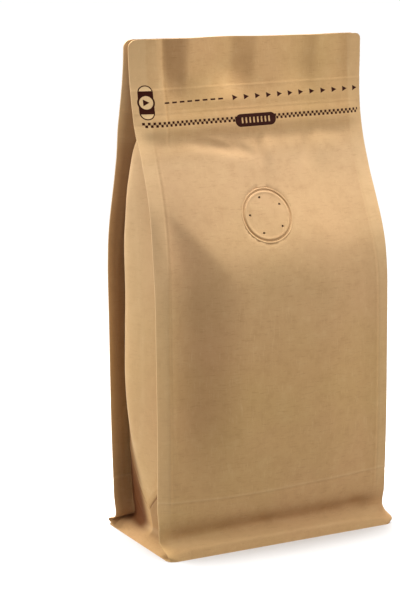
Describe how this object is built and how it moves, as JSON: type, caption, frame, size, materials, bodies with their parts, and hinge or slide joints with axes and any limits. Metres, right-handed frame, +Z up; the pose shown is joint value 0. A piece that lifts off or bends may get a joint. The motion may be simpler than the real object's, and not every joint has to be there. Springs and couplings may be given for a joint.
{
  "type": "kraft coffee bag",
  "caption": "Filled kraft paper coffee bag, standing on a flat bottom, with side gussets, sealed edges, a flat header and a one-way valve.",
  "frame": {"origin": "middle of the flat base, on the surface that the bag stands on", "axes": "+Z up, +X along the front panel's width to the right as seen from the front, +Y to the rear; the front panel faces -Y"},
  "size_m": [0.1428, 0.076, 0.262],
  "materials": {
    "kraft_paper": "uncoated brown kraft paper with faint fibres, soft creases, pressed seals and a dark brown printed tear line",
    "kraft_valve": "the same kraft paper, pressed flat over a one-way valve, with pin holes"
  },
  "bodies": {
    "root": {"bag": "kraft_paper", "valve": "kraft_valve"}
  },
  "joints": []
}
